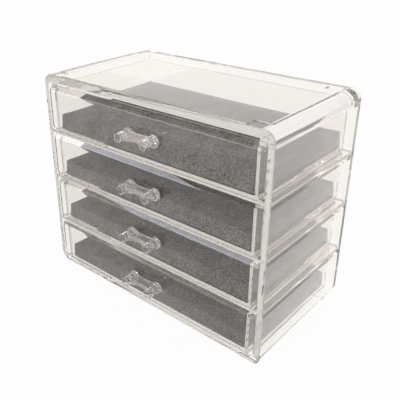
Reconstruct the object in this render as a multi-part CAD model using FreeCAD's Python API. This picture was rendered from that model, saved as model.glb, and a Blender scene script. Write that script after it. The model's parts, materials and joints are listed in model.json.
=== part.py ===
"""Clear four-drawer organizer: moulded case, slid-in shelves, drawers with pulls and velvet pads.

Millimetres, +Z up. The origin is the centre of the overall box, pulls included, on the plane that
the feet stand on. The drawers face -Y. Drawer 1 and shelf 1 are the top ones.
"""
import FreeCAD
import Part

import os

from FreeCAD import Vector

# ---- Case -------------------------------------------------------------------------------
case_width = 240.0
case_depth = 129.0
case_height = 193.6             # underside of the shell to its top deck
side_wall = 5.0
back_wall = 3.5
floor_thickness = 4.0
deck_thickness = 6.6            # above the top drawer
edge_radius = 9.0               # long outer edges, which run front to back
back_edge_radius = 3.0
front_edge_radius = 0.8
cavity_radius = 5.0

# ---- Stacking feet and raised top panel ---------------------------------------------------
foot_height = 1.2
foot_length = 18.0
foot_depth = 9.0
foot_radius = 2.5
foot_clearance = 1.0            # round a foot, in the corner notch of the unit below
foot_side_inset = 3.6
foot_front_inset = 1.0
foot_back_inset = 12.5
foot_root = 2.8                 # how far a foot's top is buried in the shell
panel_rise = 0.9
panel_back_margin = 11.5
panel_corner_radius = 2.5
panel_edge_radius = 0.4

# ---- Shelves ------------------------------------------------------------------------------
drawer_count = 4
shelf_thickness = 2.4
groove_depth = 1.4              # of the slots in the side walls
groove_clearance = 0.1
shelf_edge_radius = 0.4

# ---- Rails --------------------------------------------------------------------------------
rail_gap = 0.5                  # above the tray and behind the drawer front
rail_overhang = 2.4             # over the tray's side wall
rail_height = 4.6               # under a shelf

# ---- Drawers ------------------------------------------------------------------------------
slide_gap = 0.25                # under the drawer
front_top_gap = 0.5
front_side_gap = 0.8
front_thickness = 3.0
front_radius = 5.0
front_edge_round = 0.5
bevel_height = 5.8              # along the top of the drawer front
bevel_land = 0.4                # thickness that the bevel leaves at the top edge
bevel_root_radius = 4.0         # where the bevel starts
tray_side_gap = 6.6             # between the tray and the case's side walls
tray_back_gap = 0.3
tray_wall = 2.4
tray_floor = 2.0
tray_corner_radius = 3.0
tray_top_round = 0.6
tray_root_radius = 1.5          # inside, where the side walls meet the drawer front

# ---- Pulls --------------------------------------------------------------------------------
lobe_spacing = 27.2
lobe_radius = 4.2
lobe_length = 13.4              # from the drawer front to the tip
flange_radius = 5.3
flange_thickness = 2.2
cup_radius = 3.1
cup_depth = 7.5
lobe_rim_round = 0.5
pull_height = 19.7              # centre of the lobes above the drawer's underside
web_end_height = 7.4
web_waist_height = 4.6
web_length = 11.0               # from the drawer front
web_hollow = 3.6                # depth of the curve in the web's front
peg_radius = 2.0
peg_length = 1.5
peg_clearance = 0.1

# ---- Pads ---------------------------------------------------------------------------------
pad_thickness = 16.0
pad_gap = 0.4                   # round the pad, inside the tray
pad_corner_radius = 2.5
pad_edge_radius = 1.8
cover_thickness = 1.0

# ---- Worked out from the sizes above -----------------------------------------------------
half_width = case_width / 2
front_y = (lobe_length - case_depth) / 2
back_y = front_y + case_depth
shell_bottom = foot_height
deck_top = shell_bottom + case_height
floor_top = shell_bottom + floor_thickness
cavity_top = deck_top - deck_thickness
cavity_half = half_width - side_wall
cavity_back = back_y - back_wall
shelf_pitch = (cavity_top - floor_top) / drawer_count
shelf_half = cavity_half + groove_depth
front_height = shelf_pitch - shelf_thickness - slide_gap - front_top_gap
front_half = cavity_half - front_side_gap
tray_height = shelf_pitch - shelf_thickness - rail_height - rail_gap - slide_gap
tray_front = front_y + front_thickness
tray_half = cavity_half - tray_side_gap
tray_back = cavity_back - tray_back_gap
rail_inner_x = tray_half - rail_overhang
rail_front = tray_front + rail_gap
pad_half = tray_half - tray_wall - pad_gap
pad_front = tray_front + pad_gap
pad_back = tray_back - tray_wall - pad_gap
foot_outer_x = half_width - foot_side_inset
notch_x = foot_outer_x - foot_length - foot_clearance
front_foot_y = front_y + foot_front_inset
back_foot_y = back_y - foot_back_inset - foot_depth
front_notch_y = front_foot_y + foot_depth + foot_clearance
back_notch_y = back_foot_y - foot_clearance


def box(x0, x1, y0, y1, z0, z1):
    """Block between two corners."""
    return Part.makeBox(x1 - x0, y1 - y0, z1 - z0, Vector(x0, y0, z0))


def edges_along(shape, axis):
    """Straight edges of a shape that run along one axis (0, 1 or 2)."""
    found = []
    for edge in shape.Edges:
        ends = edge.Vertexes
        if len(ends) == 2 and edge.Curve.TypeId == "Part::GeomLine":
            run = ends[1].Point.sub(ends[0].Point)
            if abs(run[axis]) > 0.999 * run.Length:
                found.append(edge)
    return found


def edges_in_plane(shape, axis, level):
    """Edges of a shape that lie in the plane axis = level."""
    found = []
    for edge in shape.Edges:
        low = (edge.BoundBox.XMin, edge.BoundBox.YMin, edge.BoundBox.ZMin)[axis]
        high = (edge.BoundBox.XMax, edge.BoundBox.YMax, edge.BoundBox.ZMax)[axis]
        if abs(low - level) < 1e-4 and abs(high - level) < 1e-4:
            found.append(edge)
    return found


def rounded_tube(x, y0, y1, z0, z1, radius):
    """Block from -x to x whose four edges along Y are rounded."""
    block = box(-x, x, y0, y1, z0, z1)
    return block.makeFillet(radius, edges_along(block, 1))


def rounded_slab(x0, x1, y0, y1, z0, z1, radius):
    """Block whose four upright edges are rounded."""
    block = box(x0, x1, y0, y1, z0, z1)
    return block.makeFillet(radius, edges_along(block, 2))


def shelf_top(level):
    """Height that drawer number level (1 at the top) runs on."""
    return floor_top + (drawer_count - level) * shelf_pitch


def foot(side, y):
    """Low foot under one corner: side is -1 or 1, and y is its front edge."""
    x = sorted((side * foot_outer_x, side * (foot_outer_x - foot_length)))
    return rounded_slab(x[0], x[1], y, y + foot_depth, 0.0, shell_bottom + foot_root, foot_radius)


def top_panel():
    """Raised panel on the deck, notched at the corners for the feet of a unit stacked on it."""
    flat_half = half_width - edge_radius
    panel_back = back_y - panel_back_margin
    low, high = deck_top, deck_top + panel_rise
    panel = box(-flat_half, flat_half, front_y + front_edge_radius, panel_back, low, high)
    for side in (-1, 1):
        x = sorted((side * notch_x, side * half_width))
        panel = panel.cut(box(x[0], x[1], front_y, front_notch_y, low, high))
        panel = panel.cut(box(x[0], x[1], back_notch_y, back_y, low, high))
    panel = panel.makeFillet(panel_corner_radius, edges_along(panel, 2))
    return panel.makeFillet(panel_edge_radius, edges_in_plane(panel, 2, high))


def rail(side, level):
    """Rail along a side wall above a drawer's tray, which keeps a pulled drawer level."""
    low = shelf_top(level) + slide_gap + tray_height + rail_gap
    high = shelf_top(level) + shelf_pitch - shelf_thickness
    if level == 1:
        high = cavity_top + cavity_radius / 2
    x = sorted((side * rail_inner_x, side * (cavity_half + side_wall / 2)))
    return box(x[0], x[1], rail_front, cavity_back + back_wall / 2, low, high)


def case_body():
    """Shell with one open side, shelf slots, rails, feet and top panel."""
    shell = rounded_tube(half_width, front_y, back_y, shell_bottom, deck_top, edge_radius)
    shell = shell.makeFillet(back_edge_radius, edges_in_plane(shell, 1, back_y))
    shell = shell.makeFillet(front_edge_radius, edges_in_plane(shell, 1, front_y))
    cavity = rounded_tube(cavity_half, front_y, cavity_back, floor_top, cavity_top, cavity_radius)
    rails = [rail(side, level) for side in (-1, 1) for level in range(1, drawer_count + 1)]
    shell = shell.cut(cavity).fuse(rails)
    slot_half = shelf_half + groove_clearance
    for level in range(1, drawer_count):
        top = shelf_top(level) + groove_clearance
        bottom = shelf_top(level) - shelf_thickness - groove_clearance
        shell = shell.cut(box(-slot_half, slot_half, front_y, cavity_back, bottom, top))
    feet = [foot(side, y) for side in (-1, 1) for y in (front_foot_y, back_foot_y)]
    return shell.fuse([top_panel()] + feet).removeSplitter()


def shelf(level):
    """Flat plate that slides into the slots under drawer number level."""
    top = shelf_top(level)
    plate = box(-shelf_half, shelf_half, front_y, cavity_back - groove_clearance,
                top - shelf_thickness, top)
    front_edges = [edge for edge in edges_along(plate, 0) if edge.BoundBox.YMax < front_y + 1e-4]
    return plate.makeFillet(shelf_edge_radius, front_edges)


def lobe_places():
    """X of the two lobes of a pull."""
    return (-lobe_spacing / 2, lobe_spacing / 2)


def tray_root(side, low, high):
    """Hollow-faced column in the corner between a side wall and the drawer front."""
    radius = tray_root_radius
    corner_x = side * (tray_half - tray_wall)
    x = sorted((corner_x, corner_x - side * radius))
    column = box(x[0], x[1], tray_front, tray_front + radius, low, high)
    centre = Vector(corner_x - side * radius, tray_front + radius, low)
    return column.cut(Part.makeCylinder(radius, high - low, centre))


def drawer_front(bottom):
    """Front panel with rounded corners and a bevel along its top."""
    top = bottom + front_height
    panel = rounded_tube(front_half, front_y, tray_front, bottom, top, front_radius)
    start = top - bevel_height
    corners = [Vector(-half_width, y, z) for y, z in
               ((front_y, start), (tray_front - bevel_land, top), (front_y, top))]
    wedge = Part.Face(Part.makePolygon(corners + corners[:1])).extrude(Vector(case_width, 0, 0))
    panel = panel.cut(wedge)
    root = [edge for edge in edges_in_plane(panel, 1, front_y) if edge.BoundBox.ZMin > start - 1e-4]
    panel = panel.makeFillet(bevel_root_radius, root)
    outline = [edge for edge in edges_in_plane(panel, 1, front_y)
               if edge.BoundBox.ZMin < start - bevel_height]
    return panel.makeFillet(front_edge_round, outline)


def drawer_tray(level):
    """Front panel and open tray in one moulding, with two blind holes for the pull's pegs."""
    bottom = shelf_top(level) + slide_gap
    front = drawer_front(bottom)
    outer = box(-tray_half, tray_half, tray_front, tray_back, bottom, bottom + tray_height)
    back_corners = [edge for edge in edges_along(outer, 2) if edge.BoundBox.YMin > 0]
    outer = outer.makeFillet(tray_corner_radius, back_corners)
    inner = box(-tray_half + tray_wall, tray_half - tray_wall, front_y, tray_back - tray_wall,
                bottom + tray_floor, bottom + tray_height)
    back_corners = [edge for edge in edges_along(inner, 2) if edge.BoundBox.YMin > 0]
    tray = outer.cut(inner.makeFillet(tray_corner_radius - tray_wall / 2, back_corners))
    rim = edges_in_plane(tray, 2, bottom + tray_height)
    tray = tray.makeFillet(tray_top_round, [e for e in rim if e.BoundBox.YMax > tray_front + 1])
    roots = [tray_root(side, bottom, bottom + tray_height - tray_top_round) for side in (-1, 1)]
    tray = tray.fuse([front] + roots).removeSplitter()
    hole_radius = peg_radius + peg_clearance
    hole_depth = peg_length + peg_clearance
    for x in lobe_places():
        start = Vector(x, front_y, bottom + pull_height)
        tray = tray.cut(Part.makeCylinder(hole_radius, hole_depth, start, Vector(0, 1, 0)))
    return tray


def pull_lobe(x, z):
    """Round lobe with a flange at the drawer front, a peg behind it and a cup in its tip."""
    forward = Vector(0, -1, 0)
    base = Vector(x, front_y, z)
    flange = Part.makeCylinder(flange_radius, flange_thickness, base, forward)
    flange_rim = edges_in_plane(flange, 1, front_y - flange_thickness)
    flange = flange.makeFillet(lobe_rim_round, flange_rim)
    stem = Part.makeCylinder(lobe_radius, lobe_length, base, forward)
    tip_y = front_y - lobe_length
    stem = stem.makeFillet(lobe_rim_round, edges_in_plane(stem, 1, tip_y))
    peg = Part.makeCylinder(peg_radius, peg_length, base, Vector(0, 1, 0))
    return flange.fuse([stem, peg])


def pull_cup(x, z):
    """Round hollow in the tip of a lobe."""
    tip = Vector(x, front_y - lobe_length, z)
    cup = Part.makeCylinder(cup_radius, cup_depth, tip, Vector(0, 1, 0))
    return cup.makeFillet(cup_radius / 3, edges_in_plane(cup, 1, tip.y + cup_depth))


def pull_web(z):
    """Waisted bridge between the lobes, with a curved hollow in its front."""
    left, right = lobe_places()
    end_half = web_end_height / 2
    waist_half = web_waist_height / 2
    corners = [Vector(x, front_y, z + s * end_half) for x, s in
               ((left, 1), (right, 1), (right, -1), (left, -1))]
    over = Part.Arc(corners[0], Vector(0, front_y, z + waist_half), corners[1]).toShape()
    under = Part.Arc(corners[2], Vector(0, front_y, z - waist_half), corners[3]).toShape()
    outline = Part.Wire([over, Part.makeLine(corners[1], corners[2]), under,
                         Part.makeLine(corners[3], corners[0])])
    web = Part.Face(outline).extrude(Vector(0, -web_length, 0))
    half_chord = lobe_spacing / 2
    radius = (half_chord ** 2 + web_hollow ** 2) / (2 * web_hollow)
    centre_y = front_y - web_length + web_hollow - radius
    hollow = Part.makeCylinder(radius, 2 * web_end_height,
                               Vector(0, centre_y, z - web_end_height))
    return web.cut(hollow)


def pull(level):
    """Two cupped lobes joined by a waisted web."""
    z = shelf_top(level) + slide_gap + pull_height
    lobes = [pull_lobe(x, z) for x in lobe_places()]
    body = pull_web(z).fuse(lobes)
    for x in lobe_places():
        body = body.cut(pull_cup(x, z))
    return body.removeSplitter()


def pad_block(level, inset):
    """Pad's rounded block, drawn in by inset from its velvet on the top and the four sides."""
    bottom = shelf_top(level) + slide_gap + tray_floor
    block = rounded_slab(-pad_half + inset, pad_half - inset, pad_front + inset,
                         pad_back - inset, bottom, bottom + pad_thickness - inset,
                         pad_corner_radius - inset)
    top_edges = edges_in_plane(block, 2, bottom + pad_thickness - inset)
    return block.makeFillet(pad_edge_radius - inset, top_edges)


def pad_core(level):
    """Foam slab."""
    return pad_block(level, cover_thickness)


def pad_cover(level):
    """Velvet over the foam, open underneath."""
    return pad_block(level, 0.0).cut(pad_block(level, cover_thickness))


def parts():
    """Every piece by name."""
    pieces = {"case_body": case_body()}
    for level in range(1, drawer_count):
        pieces[f"shelf_{level}"] = shelf(level)
    for level in range(1, drawer_count + 1):
        pieces[f"drawer_tray_{level}"] = drawer_tray(level)
        pieces[f"pull_{level}"] = pull(level)
        pieces[f"pad_core_{level}"] = pad_core(level)
        pieces[f"pad_cover_{level}"] = pad_cover(level)
    return pieces


os.makedirs("parts", exist_ok=True)
for name, shape in parts().items():
    solid = shape.Solids[0]
    solid.exportStep(f"parts/{name}.step")
    print(name, "solids", len(shape.Solids), "valid", solid.isValid(), "cm3", round(solid.Volume / 1000, 2))
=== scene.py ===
"""Looks of a clear four-drawer organizer: moulded plastic, cupped pulls, velvet pads and a white studio.

The packed frame brings every hard piece at its real size. This script gives those pieces their plastic,
makes the four velvet pads and sets the studio round them. Metres, +Z up, drawers facing -Y.
"""
import json
import math

import bmesh
import bpy
from bpy.props import FloatProperty, FloatVectorProperty, IntProperty, PointerProperty
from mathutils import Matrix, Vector, noise

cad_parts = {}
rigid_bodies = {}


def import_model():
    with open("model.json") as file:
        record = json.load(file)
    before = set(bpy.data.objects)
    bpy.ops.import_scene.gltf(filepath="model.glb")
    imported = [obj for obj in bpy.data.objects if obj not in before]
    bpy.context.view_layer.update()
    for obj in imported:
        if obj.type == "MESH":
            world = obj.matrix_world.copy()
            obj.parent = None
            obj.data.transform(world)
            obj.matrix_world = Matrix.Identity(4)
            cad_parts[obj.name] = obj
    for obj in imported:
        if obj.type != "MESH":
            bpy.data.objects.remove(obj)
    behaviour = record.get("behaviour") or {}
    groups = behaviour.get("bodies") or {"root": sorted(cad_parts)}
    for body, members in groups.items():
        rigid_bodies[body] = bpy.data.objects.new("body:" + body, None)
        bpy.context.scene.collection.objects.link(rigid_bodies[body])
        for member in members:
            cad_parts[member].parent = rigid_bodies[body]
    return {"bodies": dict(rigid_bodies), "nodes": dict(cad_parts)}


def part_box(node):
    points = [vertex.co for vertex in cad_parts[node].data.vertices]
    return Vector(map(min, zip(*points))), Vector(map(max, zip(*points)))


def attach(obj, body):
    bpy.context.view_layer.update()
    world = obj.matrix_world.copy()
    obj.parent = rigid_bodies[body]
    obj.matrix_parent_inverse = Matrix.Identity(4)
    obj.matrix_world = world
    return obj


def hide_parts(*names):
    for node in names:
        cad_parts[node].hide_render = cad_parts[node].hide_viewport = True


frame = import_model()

bl_info = {
    "name": "Clear drawer organizer",
    "version": (1, 0, 0),
    "blender": (4, 5, 0),
    "location": "View3D > Sidebar > Organizer",
    "description": "Clear plastic, velvet pads and a white studio for a four-drawer organizer",
    "category": "Object",
}

MM = 0.001
DRAWERS = sorted(name for name in frame["bodies"] if name.startswith("drawer_"))
SHELVES = sorted(name for name in frame["nodes"] if name.startswith("shelf_"))

# Plain colours
WHITE = (1.0, 1.0, 1.0)
WARM_WHITE = (1.0, 0.985, 0.97)
PAPER_WHITE = (0.9, 0.9, 0.9)
PILE_EDGE = (0.95, 0.93, 0.92)

# Plastic
WAVE_DETAIL = 1.0

# Velvet. A range gives the noise values that become fully dark and fully light pile.
VELVET_ROUGHNESS = 0.95
VELVET_SPECULAR = 0.2
SHEEN_ROUGHNESS = 0.45
TUFT_DETAIL = 3.0
TUFT_RANGE = (0.36, 0.64)
TUFT_SHARE = 0.7
PATCH_DETAIL = 2.0
PATCH_RANGE = (0.34, 0.66)
PATCH_SHARE = 0.3
PATCH_OFFSET = 3.1
PILE_STRENGTH = 0.7

# Pads
CORNER_STEPS = 4        # faces round an upright corner
RIM_STEPS = 3           # faces round the upper and the lower edge
HELD_HEIGHT = MM        # the cover is held still below this height over the tray
NEAR = MM / 10          # how close to a level a point counts as lying on it
SHARP_ANGLE = 1.0       # radians that the surface turns by at a sharp edge, at least
UPRIGHT_SHARE = 0.99    # share of an upright edge's length that goes up, at least
PLACE_DIGITS = 6        # a pad's points go to whole thousandths of a millimetre before it swells
DENT_STEP = 7.3         # shifts the dents from one pad to the next
STILL = 1e-9            # a shorter move counts as none

# Room and lamps
FLOOR_BLEND = (-0.05, 0.05)     # Y of a place, where the floor in front turns into the floor behind
WALL_BLEND = (-0.1, 0.1)        # Y of a direction, where the front wall turns into the back wall
CEILING_BLEND = (0.5, 0.8)      # Z of a direction, where the walls turn into the ceiling
FLOOR_GAP = 0.05 * MM
MIDDLE = (0.0, 0.0, 0.1)
KEY_PLACE = (-0.3, -1.4, 1.2)
KEY_SIZE = 1.0
TOP_PLACE = (0.0, 0.1, 1.6)
TOP_SIZE = 1.6
WINDOW_PLACE = (-0.97, -1.2, 0.4)
WINDOW_WIDTH = 1.1
WINDOW_HEIGHT = 0.2

# Camera and light paths
SENSOR_WIDTH = 36.0     # millimetres, as the lens is
NEAREST_SEEN = 0.01
MIRRORINGS = 128
CLEAR_LAYERS = 64


# ---- Sizes and colours that a user would change ----------------------------------------------

class ORGANIZER_PG_plastic(bpy.types.PropertyGroup):
    """Clear plastic of the case, shelves, drawers and pulls."""
    tint: FloatVectorProperty(
        name="Tint", description="Colour that light keeps as it goes through a wall",
        default=(0.98, 0.96, 0.942), min=0.0, max=1.0, subtype="COLOR")
    depth_tint: FloatVectorProperty(
        name="Depth tint", description="Colour that long stretches of plastic turn towards",
        default=(0.952, 0.95, 0.945), min=0.0, max=1.0, subtype="COLOR")
    density: FloatProperty(
        name="Density", description="How fast the depth tint builds up along the plastic, per metre",
        default=50.0, min=0.0)
    ior: FloatProperty(
        name="Index of refraction", description="How strongly the plastic bends light",
        default=1.5, min=1.0, max=2.0)
    shadow: FloatVectorProperty(
        name="Shadow tint", description="Colour of the light that the lamps send through one surface",
        default=(0.97, 0.97, 0.965), min=0.0, max=1.0, subtype="COLOR")
    pull_haze: FloatProperty(
        name="Pull haze", description="Share of the light that one surface of a pull scatters",
        default=0.05, min=0.0, max=1.0)
    pull_tint: FloatVectorProperty(
        name="Pull tint", description="Colour that light keeps as it goes through a pull",
        default=(0.99, 0.99, 0.992), min=0.0, max=1.0, subtype="COLOR")
    wave_length: FloatProperty(
        name="Wave length", description="Width of the slow waves that moulding leaves in a wall",
        default=45 * MM, min=1 * MM, max=1.0, subtype="DISTANCE", unit="LENGTH")
    wave_height: FloatProperty(
        name="Wave height", description="Height of those waves",
        default=0.02 * MM, min=0.0, max=1 * MM, subtype="DISTANCE", unit="LENGTH")


class ORGANIZER_PG_velvet(bpy.types.PropertyGroup):
    """Velvet that covers the pads."""
    dark: FloatVectorProperty(
        name="Dark pile", description="Colour of pile that leans away from the light",
        default=(0.03, 0.026, 0.0245), min=0.0, max=1.0, subtype="COLOR")
    light: FloatVectorProperty(
        name="Light pile", description="Colour of pile that leans towards the light",
        default=(0.262, 0.239, 0.229), min=0.0, max=1.0, subtype="COLOR")
    tuft: FloatProperty(
        name="Tuft size", description="Width of one clump of pile",
        default=1.6 * MM, min=0.1 * MM, max=0.1, subtype="DISTANCE", unit="LENGTH")
    patch: FloatProperty(
        name="Patch size", description="Width of an area where the pile leans one way",
        default=16 * MM, min=1 * MM, max=1.0, subtype="DISTANCE", unit="LENGTH")
    pile_height: FloatProperty(
        name="Pile height", description="Depth of the hollows between the clumps of pile",
        default=0.2 * MM, min=0.0, max=5 * MM, subtype="DISTANCE", unit="LENGTH")
    sheen: FloatProperty(
        name="Sheen", description="Brightness of the pile seen edge on",
        default=0.12, min=0.0, max=1.0)


class ORGANIZER_PG_pad(bpy.types.PropertyGroup):
    """Foam pad in a drawer."""
    start_gap: FloatProperty(
        name="Start gap", description="How much smaller than its place the pad is before it swells",
        default=0.6 * MM, min=0.0, max=0.02, subtype="DISTANCE", unit="LENGTH")
    corner: FloatProperty(
        name="Corner radius", description="Radius of the pad's upright corners",
        default=2.0 * MM, min=0.1 * MM, max=0.05, subtype="DISTANCE", unit="LENGTH")
    rim: FloatProperty(
        name="Rim radius", description="Radius of the pad's upper edge",
        default=1.5 * MM, min=0.1 * MM, max=0.05, subtype="DISTANCE", unit="LENGTH")
    undercut: FloatProperty(
        name="Undercut", description="Radius of the pad's lower edge, where the velvet turns under",
        default=1.2 * MM, min=0.1 * MM, max=0.05, subtype="DISTANCE", unit="LENGTH")
    cell: FloatProperty(
        name="Cloth cell", description="Size of the cells that the cover is simulated with",
        default=5 * MM, min=1 * MM, max=0.05, subtype="DISTANCE", unit="LENGTH")
    crown: FloatProperty(
        name="Crown", description="How far the pad's top falls from its middle to its edges",
        default=1.0 * MM, min=0.0, max=0.02, subtype="DISTANCE", unit="LENGTH")
    crown_width: FloatProperty(
        name="Crown width", description="Width of the strip along the edges where the top falls",
        default=26 * MM, min=1 * MM, max=1.0, subtype="DISTANCE", unit="LENGTH")
    pressure: FloatProperty(
        name="Pressure", description="How hard the foam pushes the cover out",
        default=4.0, min=0.0, max=50.0)
    swell: FloatProperty(
        name="Swell", description="The furthest that the foam pushes the cover out",
        default=1.1 * MM, min=0.0, max=0.02, subtype="DISTANCE", unit="LENGTH")
    dent: FloatProperty(
        name="Dent depth", description="Depth of the shallow dents in the pad's top",
        default=0.45 * MM, min=0.0, max=0.01, subtype="DISTANCE", unit="LENGTH")
    dent_width: FloatProperty(
        name="Dent width", description="Width of those dents",
        default=42 * MM, min=1 * MM, max=1.0, subtype="DISTANCE", unit="LENGTH")
    frames: IntProperty(
        name="Frames", description="Frames that the cover is simulated for", default=20, min=1, max=250)


class ORGANIZER_PG_studio(bpy.types.PropertyGroup):
    """Camera, floor and lights."""
    camera_place: FloatVectorProperty(
        name="Camera place", description="Where the camera stands",
        default=(0.29048, -0.35202, 0.31914), subtype="TRANSLATION", unit="LENGTH")
    camera_turn: FloatVectorProperty(
        name="Camera turn", description="Which way the camera faces",
        default=(math.radians(64.638), math.radians(0.953), math.radians(42.17)), subtype="EULER")
    lens: FloatProperty(
        name="Lens", description="Focal length of the camera in millimetres", default=50.3, min=1.0)
    shift_across: FloatProperty(
        name="Shift across", description="Sideways shift of the view, in frame widths", default=0.0983)
    shift_up: FloatProperty(
        name="Shift up", description="Upward shift of the view, in frame widths", default=-0.0453)
    floor_size: FloatProperty(
        name="Floor size", description="Length of the floor's sides",
        default=8.0, min=0.1, subtype="DISTANCE", unit="LENGTH")
    surround: FloatVectorProperty(
        name="Surround", description="Colour of the room that the plastic mirrors",
        default=(1.0, 0.975, 0.945), min=0.0, max=1.0, subtype="COLOR")
    wall_front: FloatProperty(
        name="Front wall", description="Brightness of the room in front of the organizer",
        default=0.35, min=0.0, max=4.0)
    wall_back: FloatProperty(
        name="Back wall", description="Brightness of the room behind the organizer",
        default=1.15, min=0.0, max=4.0)
    ceiling: FloatProperty(
        name="Ceiling", description="Brightness of the room above the organizer",
        default=0.5, min=0.0, max=4.0)
    mirrored_front: FloatProperty(
        name="Mirrored front", description="How bright the plastic mirrors the floor in front",
        default=0.8, min=0.0, max=4.0)
    mirrored_back: FloatProperty(
        name="Mirrored back", description="How bright the plastic mirrors the floor behind",
        default=1.15, min=0.0, max=4.0)
    floor_white: FloatProperty(
        name="Floor white", description="Share of the floor that shows as plain white paper",
        default=0.96, min=0.0, max=1.0)
    key_power: FloatProperty(
        name="Key power", description="Power of the lamp above the camera in watts", default=7.0, min=0.0)
    top_power: FloatProperty(
        name="Top power", description="Power of the lamp overhead in watts", default=3.0, min=0.0)
    window_power: FloatProperty(
        name="Window power", description="Power of the low window at the front left in watts",
        default=4.0, min=0.0)
    window_colour: FloatVectorProperty(
        name="Window colour", description="Colour of the light from that window",
        default=(0.86, 0.89, 1.0), min=0.0, max=1.0, subtype="COLOR")


# ---- Node helpers -----------------------------------------------------------------------------

def fresh_material(name):
    """New material with nothing in it but an output. Returns it, its tree and that output."""
    material = bpy.data.materials.new(name)
    material.use_nodes = True
    material.node_tree.nodes.clear()
    return material, material.node_tree, material.node_tree.nodes.new("ShaderNodeOutputMaterial")


def add(tree, kind, **values):
    """New node with plain values on its sockets, named as they are with _ for a space."""
    node = tree.nodes.new(kind)
    for name, value in values.items():
        node.inputs[name.replace("_", " ")].default_value = value
    return node


def math_node(tree, operation, first, second):
    """Math node on two sockets or numbers. Returns its output."""
    node = tree.nodes.new("ShaderNodeMath")
    node.operation = operation
    for socket, value in zip(node.inputs, (first, second)):
        if isinstance(value, (int, float)):
            socket.default_value = value
        else:
            tree.links.new(value, socket)
    return node.outputs[0]


def noise_at(tree, size, detail, offset=0.0):
    """Noise whose cells are size metres wide, on Object coordinates moved by offset."""
    place = tree.nodes.new("ShaderNodeTexCoord").outputs["Object"]
    mapping = add(tree, "ShaderNodeMapping", Location=(offset, offset, offset))
    tree.links.new(place, mapping.inputs["Vector"])
    pattern = add(tree, "ShaderNodeTexNoise", Scale=1.0 / size, Detail=detail)
    tree.links.new(mapping.outputs["Vector"], pattern.inputs["Vector"])
    return pattern.outputs["Fac"]


def contrast(tree, value, low, high):
    """Value stretched so that low becomes 0 and high becomes 1, and held between them."""
    spread = add(tree, "ShaderNodeMapRange", From_Min=low, From_Max=high)
    tree.links.new(value, spread.inputs["Value"])
    return spread.outputs["Result"]


def mixed(tree, share, first, second):
    """Shader that goes from the first to the second as share goes from 0 to 1."""
    mix = tree.nodes.new("ShaderNodeMixShader")
    tree.links.new(share, mix.inputs[0])
    tree.links.new(first.outputs[0], mix.inputs[1])
    tree.links.new(second.outputs[0], mix.inputs[2])
    return mix


def any_ray(tree, *names):
    """1 for rays of any of these kinds, and 0 for the others."""
    path = tree.nodes.new("ShaderNodeLightPath")
    found = path.outputs[names[0]]
    for name in names[1:]:
        found = math_node(tree, "MAXIMUM", found, path.outputs[name])
    return found


# ---- Materials --------------------------------------------------------------------------------

def clear_plastic(name, plastic, tint, haze=0.0):
    """Clear moulded plastic that bends and mirrors light, and lets it through to light what is inside.

    haze is the share of the light that each surface scatters.
    """
    material, tree, output = fresh_material(name)
    glass = add(tree, "ShaderNodeBsdfPrincipled", Base_Color=(*tint, 1.0), Roughness=0.0,
                IOR=plastic.ior, Transmission_Weight=1.0 - haze)
    waves = add(tree, "ShaderNodeBump", Strength=1.0, Distance=plastic.wave_height)
    tree.links.new(noise_at(tree, plastic.wave_length, WAVE_DETAIL), waves.inputs["Height"])
    tree.links.new(waves.outputs["Normal"], glass.inputs["Normal"])
    through = add(tree, "ShaderNodeBsdfTransparent", Color=(*plastic.shadow, 1.0))
    mix = mixed(tree, any_ray(tree, "Is Shadow Ray", "Is Diffuse Ray"), glass, through)
    tree.links.new(mix.outputs[0], output.inputs["Surface"])
    depth = add(tree, "ShaderNodeVolumeAbsorption", Color=(*plastic.depth_tint, 1.0),
                Density=plastic.density)
    tree.links.new(depth.outputs[0], output.inputs["Volume"])
    return material


def colour_mix(tree, share, first, second):
    """Colour that goes from the first to the second as share goes from 0 to 1."""
    mix = tree.nodes.new("ShaderNodeMix")
    mix.data_type = "RGBA"
    mix.inputs[6].default_value = (*first, 1.0)
    mix.inputs[7].default_value = (*second, 1.0)
    tree.links.new(share, mix.inputs[0])
    return mix.outputs[2]


def velvet(look):
    """Short-pile velvet: clumps of pile, slow patches where it leans another way, and a soft sheen."""
    material, tree, output = fresh_material("charcoal_velvet")
    cloth = add(tree, "ShaderNodeBsdfPrincipled", Roughness=VELVET_ROUGHNESS, Sheen_Weight=look.sheen,
                Sheen_Roughness=SHEEN_ROUGHNESS, Sheen_Tint=(*PILE_EDGE, 1.0),
                Specular_IOR_Level=VELVET_SPECULAR)
    tufts = contrast(tree, noise_at(tree, look.tuft, TUFT_DETAIL), *TUFT_RANGE)
    patches = contrast(tree, noise_at(tree, look.patch, PATCH_DETAIL, PATCH_OFFSET), *PATCH_RANGE)
    lean = math_node(tree, "MULTIPLY", patches, PATCH_SHARE)
    share = math_node(tree, "ADD", math_node(tree, "MULTIPLY", tufts, TUFT_SHARE), lean)
    tree.links.new(colour_mix(tree, share, look.dark, look.light), cloth.inputs["Base Color"])
    pile = add(tree, "ShaderNodeBump", Strength=PILE_STRENGTH, Distance=look.pile_height)
    tree.links.new(tufts, pile.inputs["Height"])
    tree.links.new(pile.outputs["Normal"], cloth.inputs["Normal"])
    tree.links.new(cloth.outputs[0], output.inputs["Surface"])
    return material


def glow_of(tree, strength):
    """Warm white light of one strength."""
    return add(tree, "ShaderNodeEmission", Color=(*WARM_WHITE, 1.0), Strength=strength)


def split_along(tree, output, axis, low, high):
    """0 below low on one axis of a texture coordinate, rising to 1 at high."""
    place = tree.nodes.new("ShaderNodeTexCoord").outputs[output]
    split = tree.nodes.new("ShaderNodeSeparateXYZ")
    tree.links.new(place, split.inputs[0])
    return contrast(tree, split.outputs[axis], low, high)


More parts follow.
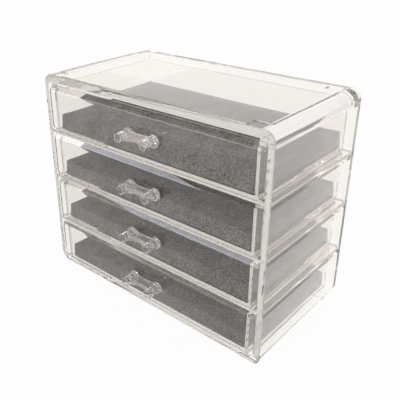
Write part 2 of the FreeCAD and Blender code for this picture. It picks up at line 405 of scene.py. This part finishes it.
def paper(studio):
    """White sheet that the organizer stands on. It shows nearly white and keeps a faint shadow."""
    material, tree, output = fresh_material("white_paper")
    sheet = add(tree, "ShaderNodeBsdfDiffuse", Color=(*PAPER_WHITE, 1.0))
    white = add(tree, "ShaderNodeEmission", Color=(*WHITE, 1.0), Strength=1.0)
    mirrored = mixed(tree, split_along(tree, "Object", "Y", *FLOOR_BLEND),
                     glow_of(tree, studio.mirrored_front), glow_of(tree, studio.mirrored_back))
    plain = mixed(tree, any_ray(tree, "Is Glossy Ray"), sheet, mirrored)
    looked_at = math_node(tree, "MULTIPLY", any_ray(tree, "Is Camera Ray"), studio.floor_white)
    through = math_node(tree, "MAXIMUM", looked_at, any_ray(tree, "Is Transmission Ray"))
    seen = mixed(tree, through, plain, white)
    tree.links.new(seen.outputs[0], output.inputs["Surface"])
    return material


def dress(node, material):
    """Puts one material on a packed piece."""
    mesh = frame["nodes"][node].data
    mesh.materials.clear()
    mesh.materials.append(material)


# ---- Modelling helpers ------------------------------------------------------------------------

def select_nothing():
    """Leaves no object selected, so that the next operator acts on its own piece alone."""
    bpy.ops.object.select_all(action="DESELECT")


def pick_edges(piece, wanted):
    """In edit mode, selects the edges that wanted says yes to."""
    bpy.ops.mesh.select_mode(type="EDGE")
    bpy.ops.mesh.select_all(action="DESELECT")
    shape = bmesh.from_edit_mesh(piece.data)
    for edge in shape.edges:
        edge.select_set(wanted(edge))
    bmesh.update_edit_mesh(piece.data)


def is_sharp(edge):
    """True for an edge where two faces meet at a clear angle."""
    return len(edge.link_faces) == 2 and edge.calc_face_angle() > SHARP_ANGLE


def upright(edge):
    """True for an edge that runs straight up, or nearly so."""
    run = edge.verts[1].co - edge.verts[0].co
    return abs(run.z) > UPRIGHT_SHARE * run.length


def block_between(name, low, high):
    """Block from one corner to the other, with its place in its mesh."""
    select_nothing()
    bpy.ops.mesh.primitive_cube_add(size=1.0, location=(low + high) / 2, scale=high - low)
    bpy.ops.object.transform_apply(location=True, rotation=True, scale=True)
    block = bpy.context.object
    block.name = name
    block.data.name = name
    return block


# ---- Pads -------------------------------------------------------------------------------------

def pad_blank(name, low, high, pad):
    """Foam block in even cells, with rounded corners, a rounded upper rim and a rounded lower edge."""
    block = block_between(name, low, high)
    bpy.ops.object.mode_set(mode="EDIT")
    for axis in range(3):
        across = [float(axis == side) for side in range(3)]
        count = max(2, round((high[axis] - low[axis]) / pad.cell))
        for step in range(1, count):
            bpy.ops.mesh.select_all(action="SELECT")
            bpy.ops.mesh.bisect(plane_co=low.lerp(high, step / count), plane_no=across)
    pick_edges(block, lambda edge: upright(edge) and is_sharp(edge))
    bpy.ops.mesh.bevel(offset=pad.corner, segments=CORNER_STEPS, affect="EDGES")
    top, bottom = high.z - NEAR, low.z + NEAR
    pick_edges(block, lambda edge: is_sharp(edge) and all(v.co.z > top for v in edge.verts))
    bpy.ops.mesh.bevel(offset=pad.rim, segments=RIM_STEPS, affect="EDGES")
    pick_edges(block, lambda edge: is_sharp(edge) and all(v.co.z < bottom for v in edge.verts))
    bpy.ops.mesh.bevel(offset=pad.undercut, segments=RIM_STEPS, affect="EDGES")
    bpy.ops.object.mode_set(mode="OBJECT")
    return block


def put_in_order(block):
    """Puts points, edges and faces in an order that follows from their places alone.

    The edit tools leave them in another order each time, and the cloth would then settle differently.
    """
    mesh = block.data
    places = [tuple(round(value, PLACE_DIGITS) for value in point.co) for point in mesh.vertices]
    order = sorted(range(len(places)), key=places.__getitem__)
    rank = {old: new for new, old in enumerate(order)}
    edges = sorted(tuple(sorted(rank[i] for i in edge.vertices)) for edge in mesh.edges)
    faces = []
    for face in mesh.polygons:
        corners = [rank[i] for i in face.vertices]
        first = corners.index(min(corners))
        faces.append(corners[first:] + corners[:first])
    mesh.clear_geometry()
    mesh.from_pydata([places[i] for i in order], edges, sorted(faces))


def swell(block, floor, pad):
    """Lets the foam push the cover out: cloth under pressure, held where it lies on the tray."""
    start = [v.co.copy() for v in block.data.vertices]
    held = block.vertex_groups.new(name="lies on the tray")
    held.add([i for i, co in enumerate(start) if co.z < floor + HELD_HEIGHT], 1.0, "REPLACE")
    cover = block.modifiers.new("Cover", "CLOTH")
    cover.settings.use_pressure = True
    cover.settings.uniform_pressure_force = pad.pressure
    cover.settings.vertex_group_mass = held.name
    cover.settings.effector_weights.gravity = 0.0
    cover.point_cache.frame_start = 1
    cover.point_cache.frame_end = pad.frames
    for step in range(1, pad.frames + 1):
        bpy.context.scene.frame_set(step)
    bpy.ops.object.modifier_apply(modifier=cover.name)
    bpy.context.scene.frame_set(1)
    for vertex, before in zip(block.data.vertices, start):
        move = vertex.co - before
        if move.length > STILL:
            vertex.co = before + move.normalized() * pad.swell * math.tanh(move.length / pad.swell)
    block.vertex_groups.clear()


def eased(share):
    """0 below 0, 1 above 1, and an even S-shaped rise between them."""
    share = min(max(share, 0.0), 1.0)
    return share * share * (3.0 - 2.0 * share)


def settle(block, low, high, seed, pad):
    """Lowers the top towards its edges, dents it and keeps the pad in the place that its tray leaves."""
    for vertex in block.data.vertices:
        x, y, z = vertex.co
        height = max((z - low.z) / (high.z - low.z), 0.0)
        inward = min(x - low.x, high.x - x, y - low.y, high.y - y) / pad.crown_width
        fall = pad.crown * (1.0 - eased(inward))
        dent = pad.dent * noise.noise(Vector((x / pad.dent_width, y / pad.dent_width, seed)))
        vertex.co.z += (dent - fall) * height ** 2
        for axis in range(3):
            vertex.co[axis] = min(max(vertex.co[axis], low[axis]), high[axis])


def make_pad(drawer, seed, material, pad):
    """Velvet pad of one drawer, in the place of its plain cover and core."""
    number = drawer.rsplit("_", 1)[1]
    low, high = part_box(f"pad_cover_{number}")
    gap = Vector((pad.start_gap,) * 3)
    start_low = low + Vector((gap.x, gap.y, 0.0))
    block = pad_blank(f"velvet_pad_{number}", start_low, high - gap, pad)
    put_in_order(block)
    swell(block, low.z, pad)
    settle(block, low, high, seed, pad)
    finer = block.modifiers.new("Finer", "SUBSURF")
    finer.levels = finer.render_levels = 1
    bpy.ops.object.modifier_apply(modifier=finer.name)
    bpy.ops.object.shade_smooth()
    block.data.materials.clear()
    block.data.materials.append(material)
    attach(block, drawer)
    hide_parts(f"pad_cover_{number}", f"pad_core_{number}")


# ---- Studio -----------------------------------------------------------------------------------

def softbox(name, place, width, height, power, colour=WHITE):
    """Square or oblong lamp at place, facing the middle of the organizer."""
    lamp = bpy.data.lights.new(name, "AREA")
    lamp.shape = "RECTANGLE"
    lamp.size = width
    lamp.size_y = height
    lamp.energy = power
    lamp.color = colour
    holder = bpy.data.objects.new(name, lamp)
    bpy.context.scene.collection.objects.link(holder)
    holder.location = place
    holder.rotation_euler = (Vector(MIDDLE) - Vector(place)).to_track_quat("-Z", "Y").to_euler()


def white_room(studio):
    """White world behind the organizer, and a room that the plastic mirrors and that lights the velvet."""
    world = bpy.data.worlds.new("white_room")
    bpy.context.scene.world = world
    world.use_nodes = True
    tree = world.node_tree
    tree.nodes.clear()
    output = tree.nodes.new("ShaderNodeOutputWorld")
    front, back, ceiling = (
        add(tree, "ShaderNodeBackground", Color=(*studio.surround, 1.0), Strength=strength)
        for strength in (studio.wall_front, studio.wall_back, studio.ceiling))
    white = add(tree, "ShaderNodeBackground", Color=(*WHITE, 1.0), Strength=1.0)
    walls = mixed(tree, split_along(tree, "Generated", "Y", *WALL_BLEND), front, back)
    room = mixed(tree, split_along(tree, "Generated", "Z", *CEILING_BLEND), walls, ceiling)
    seen = mixed(tree, any_ray(tree, "Is Camera Ray", "Is Transmission Ray"), room, white)
    tree.links.new(seen.outputs[0], output.inputs["Surface"])


def floor(studio):
    """Sheet under the organizer, a hair below its feet."""
    select_nothing()
    bpy.ops.mesh.primitive_plane_add(size=studio.floor_size, location=(0.0, 0.0, -FLOOR_GAP))
    sheet = bpy.context.object
    sheet.name = "paper_floor"
    bpy.ops.object.transform_apply(location=True, rotation=True, scale=True)
    sheet.data.materials.append(paper(studio))


def camera(studio):
    """Camera above the organizer, in front and to the right."""
    view = bpy.data.cameras.new("camera")
    view.sensor_width = SENSOR_WIDTH
    view.lens = studio.lens
    view.shift_x = studio.shift_across
    view.shift_y = studio.shift_up
    view.clip_start = NEAREST_SEEN
    holder = bpy.data.objects.new("camera", view)
    bpy.context.scene.collection.objects.link(holder)
    holder.location = studio.camera_place
    holder.rotation_euler = studio.camera_turn
    bpy.context.scene.camera = holder


def let_light_run(scene):
    """Light runs along inside the clear walls and mirrors many times before it comes out of an edge."""
    scene.cycles.max_bounces = MIRRORINGS
    scene.cycles.transmission_bounces = MIRRORINGS
    scene.cycles.glossy_bounces = MIRRORINGS
    scene.cycles.transparent_max_bounces = CLEAR_LAYERS


# ---- Operators --------------------------------------------------------------------------------

class ORGANIZER_OT_studio(bpy.types.Operator):
    """Makes the camera, the white floor and room, and the lamps"""
    bl_idname = "organizer.make_studio"
    bl_label = "Make studio"

    def execute(self, context):
        studio = context.scene.organizer_studio
        camera(studio)
        white_room(studio)
        floor(studio)
        softbox("key_softbox", KEY_PLACE, KEY_SIZE, KEY_SIZE, studio.key_power)
        softbox("top_softbox", TOP_PLACE, TOP_SIZE, TOP_SIZE, studio.top_power)
        softbox("low_window", WINDOW_PLACE, WINDOW_WIDTH, WINDOW_HEIGHT, studio.window_power,
                studio.window_colour)
        context.scene.view_settings.view_transform = "Standard"
        let_light_run(context.scene)
        return {"FINISHED"}


class ORGANIZER_OT_case(bpy.types.Operator):
    """Gives the case and its shelves their clear plastic"""
    bl_idname = "organizer.finish_case"
    bl_label = "Finish case"

    def execute(self, context):
        plastic = context.scene.organizer_plastic
        material = clear_plastic("clear_case", plastic, plastic.tint)
        for node in ["case_body"] + SHELVES:
            dress(node, material)
        return {"FINISHED"}


class ORGANIZER_OT_drawers(bpy.types.Operator):
    """Gives the drawers their clear plastic"""
    bl_idname = "organizer.finish_drawers"
    bl_label = "Finish drawers"

    def execute(self, context):
        plastic = context.scene.organizer_plastic
        material = clear_plastic("clear_drawer", plastic, plastic.tint)
        for drawer in DRAWERS:
            dress(drawer.replace("drawer", "drawer_tray"), material)
        return {"FINISHED"}


class ORGANIZER_OT_pulls(bpy.types.Operator):
    """Gives the pulls their clear plastic"""
    bl_idname = "organizer.finish_pulls"
    bl_label = "Finish pulls"

    def execute(self, context):
        plastic = context.scene.organizer_plastic
        material = clear_plastic("clear_pull", plastic, plastic.pull_tint, plastic.pull_haze)
        for drawer in DRAWERS:
            dress(drawer.replace("drawer", "pull"), material)
        return {"FINISHED"}


class ORGANIZER_OT_pads(bpy.types.Operator):
    """Makes the velvet pads"""
    bl_idname = "organizer.make_pads"
    bl_label = "Make pads"

    def execute(self, context):
        material = velvet(context.scene.organizer_velvet)
        for seed, drawer in enumerate(DRAWERS, start=1):
            make_pad(drawer, seed * DENT_STEP, material, context.scene.organizer_pad)
        return {"FINISHED"}


class ORGANIZER_PT_panel(bpy.types.Panel):
    """Steps and sizes of the organizer"""
    bl_idname = "ORGANIZER_PT_panel"
    bl_label = "Organizer"
    bl_space_type = "VIEW_3D"
    bl_region_type = "UI"
    bl_category = "Organizer"

    def draw(self, context):
        for step in STEPS:
            self.layout.operator(step.bl_idname)
        for name, group in SETTINGS.items():
            box = self.layout.box()
            box.label(text=group.__doc__)
            for value in group.__annotations__:
                box.prop(getattr(context.scene, name), value)


STEPS = (ORGANIZER_OT_studio, ORGANIZER_OT_case, ORGANIZER_OT_drawers, ORGANIZER_OT_pulls, ORGANIZER_OT_pads)
SETTINGS = {
    "organizer_plastic": ORGANIZER_PG_plastic,
    "organizer_velvet": ORGANIZER_PG_velvet,
    "organizer_pad": ORGANIZER_PG_pad,
    "organizer_studio": ORGANIZER_PG_studio,
}


def register():
    """Makes the settings, operators and panel known to Blender."""
    for name, group in SETTINGS.items():
        bpy.utils.register_class(group)
        setattr(bpy.types.Scene, name, PointerProperty(type=group))
    for kind in (*STEPS, ORGANIZER_PT_panel):
        bpy.utils.register_class(kind)


def unregister():
    """Takes them away again."""
    for kind in (ORGANIZER_PT_panel, *reversed(STEPS)):
        bpy.utils.unregister_class(kind)
    for name, group in SETTINGS.items():
        delattr(bpy.types.Scene, name)
        bpy.utils.unregister_class(group)


def main():
    """Makes the whole scene."""
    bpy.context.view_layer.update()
    register()
    bpy.ops.organizer.make_studio()
    bpy.ops.organizer.finish_case()
    bpy.ops.organizer.finish_drawers()
    bpy.ops.organizer.finish_pulls()
    bpy.ops.organizer.make_pads()


if __name__ == "__main__":
    main()
